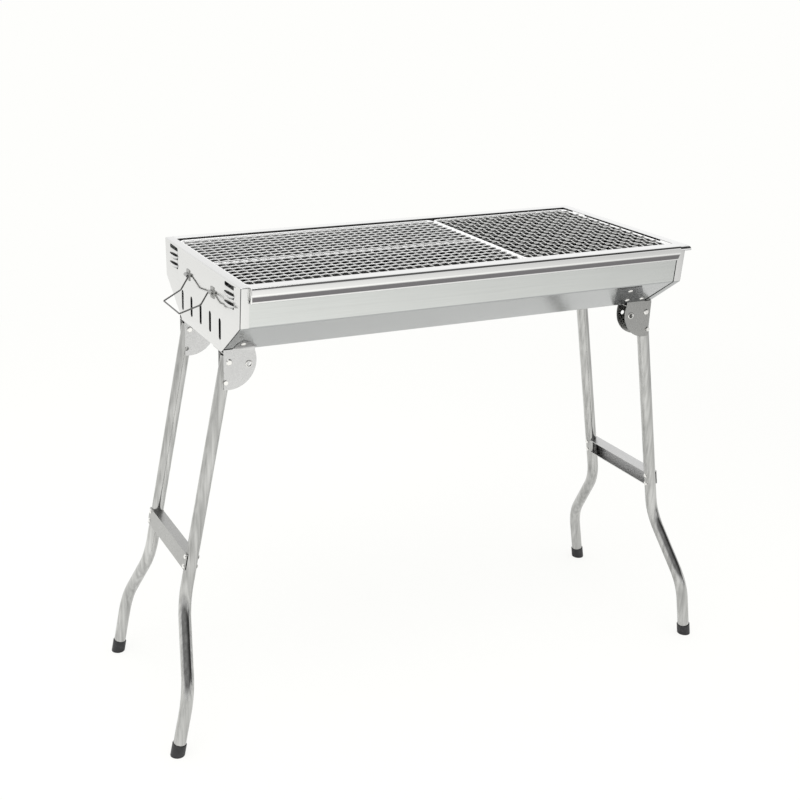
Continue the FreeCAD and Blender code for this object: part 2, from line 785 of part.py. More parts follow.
def build_bracket_rivets(name, flange_places):
    """Shanks and whole rivets of one front left bracket: its flange's, and two in the tab."""
    radius, head = s.rivet_diameter / 2, s.rivet_head / 2
    small, tail_end = head - s.rivet_crown, radius * s.rivet_tail_spread
    shanks, rivets = [], []
    for along, up in flange_places:
        shank = cylinder(name + "Shank", radius, s.gauge + s.bracket_gauge, on_slope(along, up, -s.gauge))
        top = cone(name + "Head", head, small, s.rivet_head_height, on_slope(along, up, s.bracket_gauge))
        tail = cone(name + "Tail", small, tail_end, s.rivet_tail_height,
                    on_slope(along, up, -s.gauge - s.rivet_tail_height))
        shanks.append(shank)
        rivets.append(fuse(name + "Rivet", [turn_onto_slope(item) for item in (shank, top, tail)]))
    tab_side = cheek_in - s.bracket_tab / 2
    for along in (s.tab_rivet_near, s.tab_rivet_far):
        spot = left_pivot[0] - s.bracket_back + s.bracket_radius * along
        below = s.floor_height - s.bracket_gauge
        shank = cylinder(name + "Shank", radius, s.gauge + s.bracket_gauge, (spot, -tab_side, below))
        top = cone(name + "Head", small, head, s.rivet_head_height,
                   (spot, -tab_side, below - s.rivet_head_height))
        tail = cone(name + "Tail", tail_end, small, s.rivet_tail_height,
                    (spot, -tab_side, s.floor_height + s.gauge))
        shanks.append(shank)
        rivets.append(fuse(name + "Rivet", [shank, top, tail]))
    return group(name + "Shanks", shanks), group(name, rivets)


def build_pivot_pin():
    """Headed pin through both cheeks of the front left bracket and the leg tube."""
    head = s.pin_head / 2
    ends = [(-cheek_out, 90), (-cheek_in, -90)]
    pieces = [along_y("PinShank", s.pin_diameter / 2, (left_pivot[0], -cheek_out, pivot_height),
                      cheek_out - cheek_in)]
    for side, turn in ends:
        pieces.append(cone("PinHead", head, head - s.pin_head_taper, s.rivet_head_height,
                           (left_pivot[0], side, pivot_height), X_AXIS, turn))
    return fuse("PivotPin", pieces)


def build_snap_button():
    """Locking button of the front left leg, with its collar and leaf inside the tube."""
    collar_side = s.leg_place + s.button_seat
    outer = cheek_out + s.button_stand
    head = along_y("ButtonHead", s.button_diameter / 2, on_leg(0, -outer, s.button_drop),
                   outer - collar_side)
    collar = along_y("ButtonCollar", s.button_collar / 2,
                     on_leg(0, -collar_side - s.leaf_gauge, s.button_drop), s.leaf_gauge * 2)
    leaf = doc.addObject("Part::Box", "ButtonLeaf")
    bind(leaf, Length=s.leaf_width, Width=s.leaf_gauge, Height=s.leaf_length)
    place(leaf, on_leg(-s.leaf_width / 2, -collar_side, s.button_drop + s.leaf_length - s.leaf_below),
          Y_AXIS, s.leg_splay)
    return fuse("SnapButton", [head, collar, leaf])


# ---------------------------------------------------------------- carrying handles

bore_radius = s.handle_wire / 2 + s.handle_clearance
hinge_place = -half_length - s.lug_wall - bore_radius


def build_lugs():
    """The two pressed clips on the left end plate that hold the handle's ends."""
    inner = s.handle_arm_place + s.handle_wire / 2 + s.handle_bend / 2
    clips = []
    for side in (-1, 1):
        low = inner if side > 0 else -inner - s.lug_length
        base = box("LugBase", (-half_length - s.lug_wall, low, s.handle_height - s.lug_height / 2),
                   (s.lug_wall, s.lug_length, s.lug_height))
        saddle = along_y("LugSaddle", bore_radius + s.lug_wall, (hinge_place, low, s.handle_height),
                         s.lug_length)
        bore = along_y("LugBore", bore_radius, (hinge_place, low - SPARE, s.handle_height),
                       s.lug_length + 2 * SPARE)
        clips.append(cut("Lug", fuse("LugBlank", [base, saddle]), bore))
    return group("Lugs", clips)


def build_handle():
    """Wire bail: two pins in the clips, cranked arms and a straight grip, as one bent wire."""
    pin_end = s.handle_arm_place + s.handle_wire / 2 + s.handle_bend / 2 + s.lug_length
    profile = [(0, 0, 0), (s.handle_drop_out.value, s.handle_drop_down.value, 0),
               (s.handle_reach_out.value, s.handle_reach_down.value, s.handle_grip_inset.value)]
    arm = [FreeCAD.Vector(hinge_place.value - out, s.handle_arm_place.value - inset,
                          s.handle_height.value - down) for out, down, inset in profile]
    points = [FreeCAD.Vector(arm[0].x, pin_end.value, arm[0].z)] + arm
    points += [FreeCAD.Vector(p.x, -p.y, p.z) for p in reversed(points)]
    edges, last = [], points[0]
    for before, corner, after in zip(points, points[1:], points[2:]):
        into, out_of = (corner - before).normalize(), (after - corner).normalize()
        half_turn = into.getAngle(out_of) / 2
        setback = s.handle_bend.value * math.tan(half_turn)
        start, end = corner - into * setback, corner + out_of * setback
        middle_depth = s.handle_bend.value * (1 / math.cos(half_turn) - 1)
        middle = corner + (out_of - into).normalize() * middle_depth
        edges += [Part.LineSegment(last, start).toShape(), Part.Arc(start, middle, end).toShape()]
        last = end
    edges.append(Part.LineSegment(last, points[-1]).toShape())
    ring = Part.Wire(Part.makeCircle(s.handle_wire.value / 2, points[0], Y_AXIS))
    feature = doc.addObject("Part::Feature", "Handle")
    feature.Shape = Part.Wire(edges).makePipeShell([ring], True, True)
    return feature


# ---------------------------------------------------------------- assembly

left_flange = (s.left_flange_root, s.left_flange_lean, s.left_flange_tip, s.left_flange_reach)
right_flange = (s.right_flange_root, s.right_flange_lean, s.right_flange_tip,
                slope_length - s.right_flange_short)
left_rivets = build_bracket_rivets("LeftBracketRivets", [(s.single_rivet_along, s.single_rivet_up)])
right_rivets = build_bracket_rivets("RightBracketRivets", three_rivets(*right_flange))
left_bracket = build_bracket("LeftBracket", *left_flange, s.left_fold, left_rivets[0])
right_bracket = build_bracket("RightBracket", *right_flange, s.right_fold, right_rivets[0])
right_shanks = mirror("RightShanks", right_rivets[0], X_AXIS)
all_shanks = [left_rivets[0], mirror("BackLeftShanks", left_rivets[0], Y_AXIS), right_shanks,
              mirror("BackRightShanks", right_shanks, Y_AXIS)]

node("trough_shell", cut("Trough", build_trough(), group("TroughHoles", all_shanks)))
node("left_end_plate", build_end_plate("LeftEnd", -1))
node("right_end_plate", build_end_plate("RightEnd", 1))
back_rail = node("back_rim_rail", build_back_rail())
node("front_rim_rail", mirror("FrontRail", back_rail, Y_AXIS))
node("charcoal_basket", build_basket())

large_left = -half_length + s.left_top_flange + s.grate_end_gap + rod_radius
large_right = s.grate_joint_place - s.grate_joint_gap / 2 - rod_radius
small_left = s.grate_joint_place + s.grate_joint_gap / 2 + rod_radius
small_right = rail_end - s.grate_end_gap - rod_radius
for size_name, left, right in (("large", large_left, large_right), ("small", small_left, small_right)):
    node(f"{size_name}_grate_frame", build_grate_frame(f"{size_name.title()}Frame", left, right))
    long_wires, cross_wires = build_wires(size_name.title(), left, right)
    node(f"{size_name}_grate_long_wires", long_wires)
    node(f"{size_name}_grate_cross_wires", cross_wires)
node("large_grate_stiffener", along_x("Stiffener", rod_radius,
                                      (large_left + rod_radius, as_size(0), stiffener_level),
                                      large_right - large_left - 2 * rod_radius))

PER_LEG = {
    "bracket": left_bracket,
    "bracket_rivets": left_rivets[1],
    "pivot_pin": build_pivot_pin(),
    "leg_tube": build_leg_tube(),
    "foot_cap": build_foot_cap(),
    "snap_button": build_snap_button(),
}
OWN_ON_RIGHT = {"bracket": right_bracket, "bracket_rivets": right_rivets[1]}
for part_name, source in PER_LEG.items():
    right_source = OWN_ON_RIGHT.get(part_name, source)
    node(f"front_left_{part_name}", source)
    node(f"back_left_{part_name}", mirror(f"BackLeft{part_name}", source, Y_AXIS))
    front_right = node(f"front_right_{part_name}", mirror(f"FrontRight{part_name}", right_source, X_AXIS))
    node(f"back_right_{part_name}", mirror(f"BackRight{part_name}", front_right, Y_AXIS))

for part_name, source in (("brace", build_brace()), ("brace_rivets", build_brace_rivets()),
                          ("handle_lugs", build_lugs()), ("handle", build_handle())):
    node(f"left_{part_name}", source)
    node(f"right_{part_name}", mirror(f"Right{part_name}", source, X_AXIS))

doc.recompute()

for item in doc.Objects:
    if "Invalid" in item.State or "Error" in item.State:
        raise RuntimeError(f"{item.Name} ({item.Label}) did not build: {item.State}")
for name, item in NODES.items():
    if item.Shape.isNull() or not item.Shape.isValid():
        raise RuntimeError(f"{name} has no valid shape")

os.makedirs("parts", exist_ok=True)
for name, item in NODES.items():
    item.Shape.exportStep(f"parts/{name}.step")
    print(f"{name}: {len(item.Shape.Solids)} solids, {item.Shape.Volume / 1000:.2f} cm3")
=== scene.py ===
"""Looks of a folding camp grill: a bright folded-steel trough on two pairs of folding tube legs."""

import logging
import math
from dataclasses import dataclass
from enum import Enum

import bmesh
import bpy
from mathutils import Matrix, Vector


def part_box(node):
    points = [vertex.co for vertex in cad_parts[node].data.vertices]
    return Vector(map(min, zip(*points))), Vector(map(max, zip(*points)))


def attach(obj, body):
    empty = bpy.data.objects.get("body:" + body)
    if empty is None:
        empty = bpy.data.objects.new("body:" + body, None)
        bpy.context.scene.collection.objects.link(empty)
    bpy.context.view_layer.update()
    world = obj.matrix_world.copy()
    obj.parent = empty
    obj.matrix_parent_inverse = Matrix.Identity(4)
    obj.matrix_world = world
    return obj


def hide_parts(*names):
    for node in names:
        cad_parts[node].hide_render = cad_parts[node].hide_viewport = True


logging.basicConfig(level=logging.INFO, format="%(name)s: %(message)s")
LOG = logging.getLogger("camp_grill")

MM = 0.001
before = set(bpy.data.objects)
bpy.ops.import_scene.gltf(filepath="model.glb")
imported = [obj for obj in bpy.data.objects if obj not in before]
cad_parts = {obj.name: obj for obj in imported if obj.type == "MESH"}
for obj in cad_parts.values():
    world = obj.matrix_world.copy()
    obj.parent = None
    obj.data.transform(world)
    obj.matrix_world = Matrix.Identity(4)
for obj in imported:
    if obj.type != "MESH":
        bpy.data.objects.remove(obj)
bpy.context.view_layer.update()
SMOOTH_LIMIT = math.radians(32)


# ---------------------------------------------------------------- shared helpers

def linear(colour: str) -> tuple[float, float, float, float]:
    """Turn an sRGB hex colour into linear light.

    Args:
        colour: six hex digits after a hash sign.

    Returns:
        Linear red, green, blue and an alpha of one.
    """
    channels = [int(colour[i:i + 2], 16) / 255 for i in (1, 3, 5)]
    light = [c / 12.92 if c <= 0.04045 else ((c + 0.055) / 1.055) ** 2.4 for c in channels]
    return (*light, 1.0)


def add_node(tree: bpy.types.NodeTree, kind: str, inputs: dict | None = None,
             **settings: object) -> bpy.types.Node:
    """Add a node, set its properties and fill its inputs.

    Args:
        tree: node tree that the node joins.
        kind: Blender's type name for the node.
        inputs: value or source socket for each input's name or number.
        settings: properties of the node itself.

    Returns:
        The new node.
    """
    node = tree.nodes.new(kind)
    for name, value in settings.items():
        setattr(node, name, value)
    for name, value in (inputs or {}).items():
        if isinstance(value, bpy.types.NodeSocket):
            tree.links.new(value, node.inputs[name])
        else:
            node.inputs[name].default_value = value
    return node


def finished(mesh_tool: bmesh.types.BMesh, name: str, material: bpy.types.Material, body: str,
             replaced: tuple[str, ...] = ()) -> bpy.types.Object:
    """Turn a bmesh into a named piece that rides on a body.

    Args:
        mesh_tool: the finished shape, in the row frame; it is freed here.
        name: name of the piece.
        material: the piece's finish.
        body: CAD body that carries the piece.
        replaced: CAD nodes that the piece stands for.

    Returns:
        The new object.
    """
    mesh = bpy.data.meshes.new(name)
    mesh_tool.to_mesh(mesh)
    mesh_tool.free()
    mesh.shade_smooth()
    mesh.set_sharp_from_angle(angle=SMOOTH_LIMIT)
    mesh.materials.append(material)
    piece = bpy.data.objects.new(name, mesh)
    bpy.context.scene.collection.objects.link(piece)
    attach(piece, body)
    if replaced:
        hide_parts(*replaced)
    LOG.info("%s rides on %s, %d faces", name, body, len(mesh.polygons))
    return piece


def face_outwards(mesh_tool: bmesh.types.BMesh, out: Vector) -> None:
    """Turn an open sheet over if its largest face looks away from a direction."""
    largest = max(mesh_tool.faces, key=lambda face: face.calc_area())
    if largest.normal.dot(out) < 0:
        bmesh.ops.reverse_faces(mesh_tool, faces=mesh_tool.faces)


def round_folds(mesh_tool: bmesh.types.BMesh, edges: list, radius: float, steps: int = 4) -> None:
    """Round a sheet's fold edges to a bend radius."""
    bmesh.ops.bevel(mesh_tool, geom=edges, offset=radius, offset_type="OFFSET", affect="EDGES",
                    segments=steps, profile=0.5, material=-1, clamp_overlap=True)


def thicken(piece: bpy.types.Object, gauge: float, rim: bpy.types.Material | None = None) -> None:
    """Give an open sheet its metal thickness on the inside, and even out its shading.

    Args:
        piece: the open sheet.
        gauge: its metal thickness.
        rim: painted shade for its cut edges, drawn as dark seam lines, if given.
    """
    wall = piece.modifiers.new("Wall", "SOLIDIFY")
    wall.thickness = gauge
    wall.offset = -1.0
    if rim:
        piece.data.materials.append(rim)
        wall.material_offset_rim = 1
    even = piece.modifiers.new("EvenShading", "WEIGHTED_NORMAL")
    even.keep_sharp = True


def folded_strip(section: list[tuple[float, float]], start: float, end: float, radii: dict[int, float],
                 out: Vector) -> bmesh.types.BMesh:
    """Run an open section of folded sheet along X.

    Args:
        section: (y, z) corners of the section.
        start: x of the first end.
        end: x of the other end.
        radii: bend radius at the numbered corners.
        out: direction that the largest face looks in.

    Returns:
        The folded surface, without thickness.
    """
    strip = bmesh.new()
    corners = [strip.verts.new((start, y, z)) for y, z in section]
    edges = [strip.edges.new(pair) for pair in zip(corners, corners[1:])]
    drawn = bmesh.ops.extrude_edge_only(strip, edges=edges)["geom"]
    bmesh.ops.translate(strip, vec=(end - start, 0, 0),
                        verts=[item for item in drawn if isinstance(item, bmesh.types.BMVert)])
    strip.verts.ensure_lookup_table()
    for number in sorted(radii):
        y, z = section[number]
        fold = [edge for edge in strip.edges if all(abs(v.co.y - y) < 1e-6 and abs(v.co.z - z) < 1e-6
                                                    for v in edge.verts)]
        round_folds(strip, fold, radii[number], 6)
    face_outwards(strip, out)
    return strip


def merged_copy(node: str) -> bmesh.types.BMesh:
    """Copy a CAD node's mesh, joined into whole faces.

    Args:
        node: name of the CAD node.

    Returns:
        The merged copy, in the row frame.
    """
    copy = bmesh.new()
    copy.from_mesh(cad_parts[node].data)
    bmesh.ops.remove_doubles(copy, verts=copy.verts, dist=0.00001)
    bmesh.ops.dissolve_limit(copy, angle_limit=math.radians(0.5), verts=copy.verts, edges=copy.edges)
    bmesh.ops.recalc_face_normals(copy, faces=copy.faces)
    return copy


# ---------------------------------------------------------------- finishes

class Grain(Enum):
    """Direction that the rolling or polishing lines run in."""

    ALONG = (0.012, 1.0, 1.0)
    ACROSS = (1.0, 0.012, 1.0)
    UPRIGHT = (1.0, 1.0, 0.012)
    NONE = (1.0, 1.0, 1.0)


@dataclass(frozen=True)
class SteelFinish:
    """Bare or plated steel. Its lines and cloudy patches show in the gloss more than in the colour."""

    name: str
    colour: str
    shade: str
    roughness: float
    spread: float
    grain: Grain
    line_mm: float
    depth_mm: float
    # Painted shade for the faces that look down, if given.
    painted_underside_shade: str = ""
    metallic: float = 1.0

    def darken_below(self, tree: bpy.types.NodeTree, tone: bpy.types.NodeSocket) -> bpy.types.NodeSocket:
        """Paint the faces that look down a darker colour: painted shade, and a painted reflection of the
        shaded ground.
        """
        normal = add_node(tree, "ShaderNodeNewGeometry").outputs["Normal"]
        height = add_node(tree, "ShaderNodeSeparateXYZ", {0: normal}).outputs["Z"]
        share = add_node(tree, "ShaderNodeMapRange", {0: height, 1: -0.2, 2: -0.4, 3: 0.0, 4: 1.0})
        return add_node(tree, "ShaderNodeMix", {0: share.outputs[0], 6: tone, 7: linear(self.painted_underside_shade)},
                        data_type="RGBA").outputs[2]

    def material(self) -> bpy.types.Material:
        """Build the material.

        Returns:
            A metal whose colour, gloss and bump follow the lines of its working.
        """
        material = bpy.data.materials.new(self.name)
        material.use_nodes = True
        tree = material.node_tree
        shader = tree.nodes["Principled BSDF"]
        place = add_node(tree, "ShaderNodeTexCoord").outputs["Object"]
        stretched = add_node(tree, "ShaderNodeMapping", {"Vector": place, "Scale": self.grain.value})
        lines = add_node(tree, "ShaderNodeTexNoise", {"Vector": stretched.outputs[0], "Detail": 3.0,
                                                      "Scale": 1 / (self.line_mm * MM)})
        clouds = add_node(tree, "ShaderNodeTexNoise", {"Vector": place, "Scale": 11.0, "Detail": 2.0})
        blend = add_node(tree, "ShaderNodeMix", {0: 0.35, 2: lines.outputs[0], 3: clouds.outputs[0]})
        tone = add_node(tree, "ShaderNodeMix", {0: blend.outputs[0], 6: linear(self.colour),
                                                7: linear(self.shade)}, data_type="RGBA")
        gloss = add_node(tree, "ShaderNodeMapRange",
                         {0: blend.outputs[0], 1: 0.3, 2: 0.7,
                          3: self.roughness - self.spread, 4: self.roughness + self.spread})
        relief = add_node(tree, "ShaderNodeBump", {"Height": lines.outputs[0], "Strength": 0.4,
                                                   "Distance": self.depth_mm * MM})
        skin = tone.outputs[2]
        if self.painted_underside_shade:
            skin = self.darken_below(tree, skin)
        tree.links.new(skin, shader.inputs["Base Color"])
        tree.links.new(gloss.outputs[0], shader.inputs["Roughness"])
        tree.links.new(relief.outputs[0], shader.inputs["Normal"])
        shader.inputs["Metallic"].default_value = self.metallic
        return material


@dataclass(frozen=True)
class PerforatedFinish:
    """Thin sheet with rows of punched holes, painted as dark dots for the shade seen through them."""

    name: str
    colour: str
    painted_hole_shade: str
    # Painted shade seen through the holes.
    pitch_mm: float
    hole_mm: float

    def material(self) -> bpy.types.Material:
        """Build the material.

        Returns:
            A metal with a square grid of dark dots on every wall.
        """
        material = bpy.data.materials.new(self.name)
        material.use_nodes = True
        tree = material.node_tree
        shader = tree.nodes["Principled BSDF"]
        place = add_node(tree, "ShaderNodeTexCoord").outputs["Object"]
        cells = add_node(tree, "ShaderNodeTexVoronoi",
                         {"Vector": place, "Scale": 1 / (self.pitch_mm * MM), "Randomness": 0.0})
        hole = add_node(tree, "ShaderNodeMapRange",
                        {0: cells.outputs["Distance"], 1: self.hole_mm / self.pitch_mm / 2,
                         2: self.hole_mm / self.pitch_mm / 2 + 0.06, 3: 1.0, 4: 0.0})
        tone = add_node(tree, "ShaderNodeMix", {0: hole.outputs[0], 6: linear(self.colour),
                                                7: linear(self.painted_hole_shade)}, data_type="RGBA")
        gloss = add_node(tree, "ShaderNodeMapRange", {0: hole.outputs[0], 3: 0.3, 4: 0.9})
        tree.links.new(tone.outputs[2], shader.inputs["Base Color"])
        tree.links.new(gloss.outputs[0], shader.inputs["Roughness"])
        shader.inputs["Metallic"].default_value = 0.9
        return material


@dataclass(frozen=True)
class MouldedPlastic:
    """Black moulded polyethylene: soft, slightly grainy and scuffed where it rubs."""

    name: str
    colour: str
    scuff: str
    roughness: float
    grain_mm: float

    def material(self) -> bpy.types.Material:
        """Build the material.

        Returns:
            A matt plastic with a fine moulded grain.
        """
        material = bpy.data.materials.new(self.name)
        material.use_nodes = True
        tree = material.node_tree
        shader = tree.nodes["Principled BSDF"]
        place = add_node(tree, "ShaderNodeTexCoord").outputs["Object"]
        grain = add_node(tree, "ShaderNodeTexNoise", {"Vector": place, "Scale": 1 / (self.grain_mm * MM),
                                                      "Detail": 2.0})
        wear = add_node(tree, "ShaderNodeTexNoise", {"Vector": place, "Scale": 90.0, "Detail": 4.0})
        share = add_node(tree, "ShaderNodeMapRange", {0: wear.outputs[0], 1: 0.5, 2: 0.75, 3: 0.0, 4: 0.5})
        tone = add_node(tree, "ShaderNodeMix", {0: share.outputs[0], 6: linear(self.colour),
                                                7: linear(self.scuff)}, data_type="RGBA")
        relief = add_node(tree, "ShaderNodeBump", {"Height": grain.outputs[0], "Strength": 0.3,
                                                   "Distance": 0.0002})
        tree.links.new(tone.outputs[2], shader.inputs["Base Color"])
        tree.links.new(relief.outputs[0], shader.inputs["Normal"])
        shader.inputs["Roughness"].default_value = self.roughness
        return material


@dataclass
class Finishes:
    """Every finish of the grill, made once and shared by its pieces."""

    panel: bpy.types.Material
    plate: bpy.types.Material
    rail: bpy.types.Material
    tube: bpy.types.Material
    wire: bpy.types.Material
    cross_wire: bpy.types.Material
    painted_seam_shade: bpy.types.Material
    basket: bpy.types.Material
    left_bracket: bpy.types.Material
    right_bracket: bpy.types.Material
    fastener: bpy.types.Material
    handle: bpy.types.Material
    cap: bpy.types.Material

    @classmethod
    def make(cls) -> "Finishes":
        """Build every material.

        Returns:
            The set of finishes.
        """
        # The last colour of a finish, where given, is painted shade for its faces that look down.
        # Cold-rolled ferritic stainless sheet, bright annealed: a soft mirror with lengthwise lines.
        # The real lines are about 0.1 mm apart, drawn coarser so that they show.
        panel = SteelFinish("stainless_sheet_rolled", "#D3D5D3", "#C3C5C3", 0.20, 0.05, Grain.ALONG,
                            1.6, 0.02, "#A6A8A8")
        plate = SteelFinish("stainless_sheet_end", "#DEDEDD", "#D4D4D3", 0.10, 0.04, Grain.ACROSS,
                            2.2, 0.012, "#9A9C9C")
        rail = SteelFinish("stainless_sheet_rail", "#EEEEED", "#E2E2E1", 0.07, 0.03, Grain.ALONG,
                           1.2, 0.006, "#6A686A")
        # Welded steel tube, drawn and thinly plated with bright chrome: light and dark streaks along it,
        # partly draw lines and partly painted reflection of the studio.
        # The real lines are well under 1 mm wide, drawn coarser so that they show.
        tube = SteelFinish("chromed_tube_painted_streaks", "#E8E8E6", "#484846", 0.13, 0.04, Grain.UPRIGHT, 4.0, 0.02)
        # Chromed wire, bright on top: painted light, the lit copy of the wire below.
        wire = SteelFinish("chromed_wire", "#FBFBFA", "#EDEDEC", 0.22, 0.05, Grain.NONE, 2.0, 0.01,
                           metallic=0.5)
        # Painted shade: the same chromed wire painted darker, for the wires below and the small grate's
        # weave.
        cross_wire = SteelFinish("chromed_wire_painted_shade", "#E0E0DE", "#C6C6C4", 0.18, 0.05, Grain.NONE,
                                 2.0, 0.01)
        # Painted shade: a dark grey for the sheet's cut edges, the end pans' bends and the rails' steps,
        # drawn as dark seam lines.
        painted_seam_shade = SteelFinish("dark_seam_painted_shade", "#4A4A4A", "#303030", 0.45, 0.05, Grain.NONE, 1.0, 0.02)
        # Painted shade: the punched sheet is painted dark grey for its place deep in the trough, and its
        # holes near-black for the shade behind them.
        basket = PerforatedFinish("stainless_sheet_punched_painted_shade", "#4E4E4E", "#030303", 6.5, 4.0)
        # Zinc-plated stamping in two copies: the lighter one is painted light and the darker one painted
        # shade.
        left_bracket = SteelFinish("zinc_plated_stamping_painted_light", "#D0D0CF", "#BEBEBE", 0.30, 0.06,
                                   Grain.NONE, 3.0, 0.008, "#8E8E8E")
        right_bracket = SteelFinish("zinc_plated_stamping_painted_shade", "#AEAEAC", "#989896", 0.30, 0.06,
                                    Grain.NONE, 3.0, 0.008, "#5A5C5E")
        fastener = SteelFinish("nickel_rivet", "#F2F1EE", "#DEDDDA", 0.12, 0.04, Grain.NONE, 1.0, 0.01)
        handle = SteelFinish("chromed_handle_wire", "#767674", "#4A4A48", 0.12, 0.03, Grain.NONE,
                             1.0, 0.01)
        cap = MouldedPlastic("moulded_polyethylene", "#1E1E20", "#3C3C3E", 0.5, 0.6)
        return cls(*[finish.material() for finish in (
            panel, plate, rail, tube, wire, cross_wire, painted_seam_shade, basket, left_bracket, right_bracket,
            fastener, handle, cap)])


# ---------------------------------------------------------------- folded body

@dataclass
class TroughBody:
    """The folded trough, its two end pans with vents and louvres, and the rim rails."""

    finishes: Finishes
    gauge: float = 1.0 * MM
    bend_height: float = 642.0 * MM
    floor_width: float = 175.0 * MM
    panel_taper: float = 3.5 * MM
    flange: float = 13.0 * MM
    bend_radius: float = 1.6 * MM
    vent_pitch: float = 40.0 * MM
    vent_size: tuple[float, float] = (31.0 * MM, 9.0 * MM)
    vent_middle: float = 621.5 * MM
    louvre_size: tuple[float, float] = (36.0 * MM, 6.0 * MM)
    louvre_pitch: float = 13.5 * MM
    louvre_top: float = 693.0 * MM
    louvre_inset: float = 43.0 * MM
    hood_depth: float = 3.6 * MM
    roll_radius: float = 4.5 * MM
    rail_top: float = 20.0 * MM
    rail_depth: float = 23.0 * MM
    rail_tuck: float = 11.0 * MM
    hem: float = 2.0 * MM
    hem_inset: float = 0.8 * MM
    rail_step: float = 6.0 * MM
    rail_ledge: float = 11.0 * MM

    def __post_init__(self) -> None:
        """Read the body's places from the CAD frame."""
        low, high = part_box("left_end_plate")
        self.left = low.x
        self.half_width = high.y
        self.floor = low.z
        self.rim = high.z
        self.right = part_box("trough_shell")[1].x + self.gauge

    def section(self, inset: float) -> list[tuple[float, float]]:
        """Corners of the trough's section, moved inwards.

        Args:
            inset: distance inwards from the outer skin.

        Returns:
            (y, z) corners from the back top edge round to the front top edge.
        """
        run = self.half_width - self.panel_taper - self.floor_width / 2
        rise = self.bend_height - self.floor
        shift = inset * math.hypot(run, rise) / rise
        half = [(self.half_width - inset, self.rim - self.gauge),
                (self.half_width - self.panel_taper - inset, self.bend_height),
                (self.floor_width / 2 - shift, self.floor)]
        return half + [(-y, z) for y, z in reversed(half)]

    def build_trough(self) -> None:
        """Fold the trough sheet with rounded bends."""
        sheet = folded_strip(self.section(self.gauge), self.left + self.gauge, self.right - self.gauge,
                             {number: 2.5 * MM for number in range(1, 5)}, Vector((0, 0, -1)))
        piece = finished(sheet, "trough_sheet", self.finishes.panel, "grill_body",
                         ("trough_shell",))
        thicken(piece, self.gauge)

    def slot_loop(self, pan: bmesh.types.BMesh, x: float, centre: tuple[float, float],
                  size: tuple[float, float], upright: bool) -> list:
        """Draw a round-ended slot in the plate's plane.

        Args:
            pan: bmesh that takes the loop.
            x: place of the plate.
            centre: (y, z) of the slot's middle.
            size: the slot's length and width.
            upright: whether its length runs up the plate.

        Returns:
            The loop's edges.
        """
        length, width = size
        turn = Matrix.Translation((x, *centre)) @ Matrix.Rotation(math.radians(90), 4, "Y")
        loop = bmesh.ops.create_circle(pan, cap_ends=False, segments=16, radius=width / 2,
                                       matrix=turn)["verts"]
        axis = 2 if upright else 1
        for vert in loop:
            side = vert.co[axis] - centre[axis - 1]
            vert.co[axis] += math.copysign((length - width) / 2, side + 1e-7)
        return list({edge for vert in loop for edge in vert.link_edges})

    def pan_sheet(self, x: float, inwards: float, top_flange: bool) -> bmesh.types.BMesh:
        """Press one end pan: a plate with slots, whose edges fold over the trough.

        Args:
            x: place of the plate's outer face.
            inwards: 1 if the flanges run towards +X, and -1 towards -X.
            top_flange: whether the top edge folds over too.

        Returns:
            The pan's outer surface.
        """
        pan = bmesh.new()
        outline = self.section(0.0)
        if top_flange:
            outline[0] = (outline[0][0], self.rim)
            outline[-1] = (outline[-1][0], self.rim)
        corners = [pan.verts.new((x, y, z)) for y, z in outline]
        rim_edges = [pan.edges.new(pair) for pair in zip(corners, corners[1:] + corners[:1])]
        edges = list(rim_edges)
        for count in range(-2, 3):
            edges += self.slot_loop(pan, x, (self.vent_pitch * count, self.vent_middle),
                                    self.vent_size, True)
        for side in (-1, 1):
            for row in range(3):
                centre = ((self.half_width - self.louvre_inset) * side,
                          self.louvre_top - self.louvre_pitch * row)
                edges += self.slot_loop(pan, x, centre, self.louvre_size, False)
        bmesh.ops.triangle_fill(pan, use_beauty=True, use_dissolve=False, edges=edges,
                                normal=(-inwards, 0, 0))
        floor_edge, top_edge = rim_edges[2], rim_edges[5]
        folded = [edge for edge in rim_edges
                  if edge is not floor_edge and (top_flange or edge is not top_edge)]
        drawn = bmesh.ops.extrude_edge_only(pan, edges=folded)["geom"]
        bmesh.ops.translate(pan, vec=(self.flange * inwards, 0, 0),
                            verts=[item for item in drawn if isinstance(item, bmesh.types.BMVert)])
        corners = [edge for edge in pan.edges if edge.is_manifold and edge not in folded
                   and abs(edge.verts[0].co.x - edge.verts[1].co.x) > self.flange / 2]
        round_folds(pan, folded + corners, self.bend_radius)
        face_outwards(pan, Vector((-inwards, 0, 0)))
        # Painted shade: the bend faces between the plate and its flanges take the dark seam finish.
        for face in pan.faces:
            if 0.35 < abs(face.normal.x) < 0.92 and face.normal.z < 0.3:
                face.material_index = 1
        return pan

    def build_ends(self) -> None:
        """Press both end pans."""
        left = finished(self.pan_sheet(self.left, 1, True), "left_end_pan", self.finishes.plate,
                        "grill_body", ("left_end_plate",))
        thicken(left, self.gauge, self.finishes.painted_seam_shade)
        right = finished(self.pan_sheet(self.right, -1, False), "right_end_pan", self.finishes.plate,
                         "grill_body", ("right_end_plate",))
        thicken(right, self.gauge, self.finishes.painted_seam_shade)
        self.build_right_rim()

